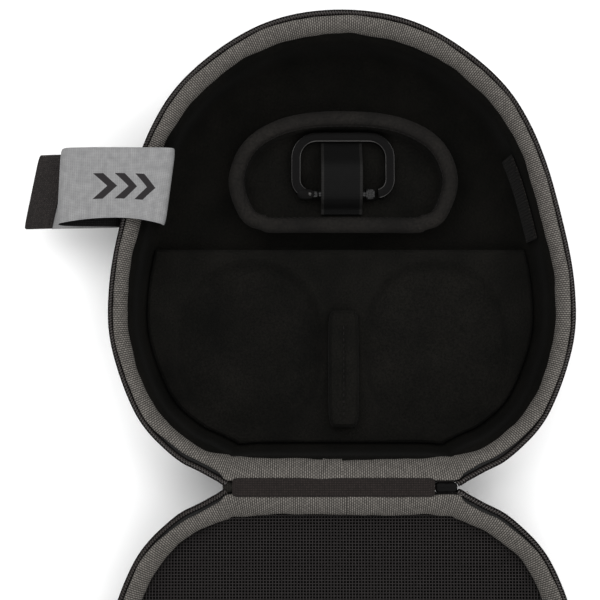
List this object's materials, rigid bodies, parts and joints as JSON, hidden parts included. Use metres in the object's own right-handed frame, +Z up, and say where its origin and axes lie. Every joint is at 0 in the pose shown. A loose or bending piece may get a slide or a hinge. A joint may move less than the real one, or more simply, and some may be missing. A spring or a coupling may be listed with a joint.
{
  "type": "headphone carrying case",
  "caption": "Clamshell carrying case for over-ear headphones, lying open, with a fabric hinge, zip, strap and accessory pocket.",
  "frame": {"origin": "centre of the base half's flat underside, on the surface the case lies on", "axes": "+Z up, +Y from the hinge towards the base half's round end, the lid half at -Y, +X to the right"},
  "size_m": [0.2634, 0.4556, 0.0467],
  "materials": {
    "shell_fabric": "matte ballistic weave bonded to moulded EVA",
    "lining": "brushed loop lining",
    "binding": "basket-weave binding tape",
    "zip_tape": "woven zip tape",
    "zip_coil": "nylon coil",
    "hinge_fabric": "plain woven strip",
    "padding": "brushed fabric over moulded foam",
    "magnet": "nickel-plated magnet",
    "black_metal": "black anodised, satin",
    "steel": "plain steel",
    "webbing": "flat webbing",
    "strap_webbing": "ribbed grey webbing",
    "hook_tape": "hook and loop tape",
    "mesh_fabric": "knitted net"
  },
  "bodies": {
    "base": {"base_shell": "shell_fabric", "base_lining": "lining", "base_binding": "binding", "base_zip_tape": "zip_tape", "base_zip_coil": "zip_coil", "base_hinge_flap": "hinge_fabric", "base_hinge_patch": "hinge_fabric", "ear_cup_insert": "padding", "centre_divider": "padding", "sleep_magnet": "magnet", "accessory_pocket": "padding", "pocket_bead": "padding", "carabiner_band": "webbing", "strap_root": "strap_webbing", "strap_loop_patch": "hook_tape", "zip_slider": "black_metal", "zip_slider_bail": "steel"},
    "lid": {"lid_shell": "shell_fabric", "lid_lining": "lining", "lid_binding": "binding", "lid_zip_tape": "zip_tape", "lid_zip_coil": "zip_coil", "lid_hinge_flap": "hinge_fabric", "lid_hinge_patch": "hinge_fabric", "mesh_pocket": "mesh_fabric", "mesh_pocket_hem": "webbing"},
    "strap": {"retaining_strap": "strap_webbing", "strap_hook_tab": "hook_tape"},
    "carabiner": {"carabiner_frame": "black_metal", "gate_pin": "steel"},
    "gate": {"gate_rod": "black_metal", "gate_sleeve": "black_metal", "gate_tongue": "black_metal"},
    "zip_pull": {"zip_pull": "black_metal"}
  },
  "joints": [
    {"name": "lid_hinge", "type": "hinge", "parent": "base", "child": "lid", "pos_m": [0, -0.114, 0.042], "axis": [-1, 0, 0], "range_deg": [0, 180]},
    {"name": "strap_flip", "type": "hinge", "parent": "base", "child": "strap", "pos_m": [-0.08, 0.0285, 0.0355], "axis": [0, 1, 0], "range_deg": [0, 180]},
    {"name": "carabiner_tilt", "type": "hinge", "parent": "base", "child": "carabiner", "pos_m": [0.0015, 0.0285, 0.0123], "axis": [1, 0, 0], "range_deg": [0, 15]},
    {"name": "gate_swing", "type": "hinge", "parent": "carabiner", "child": "gate", "pos_m": [-0.0149, 0.0285, 0.0123], "axis": [0, 0, 1], "range_deg": [0, 20], "stiffness_Nm_per_rad": 0.02, "springref_deg": -17.19},
    {"name": "zip_pull_swing", "type": "hinge", "parent": "base", "child": "zip_pull", "pos_m": [0.0486, -0.114, 0.0339], "axis": [0, 1, 0], "range_deg": [-60, 60]}
  ],
  "couplings": [
    {"joint": "strap_flip", "follows": "lid_hinge", "ratio": 1}
  ]
}
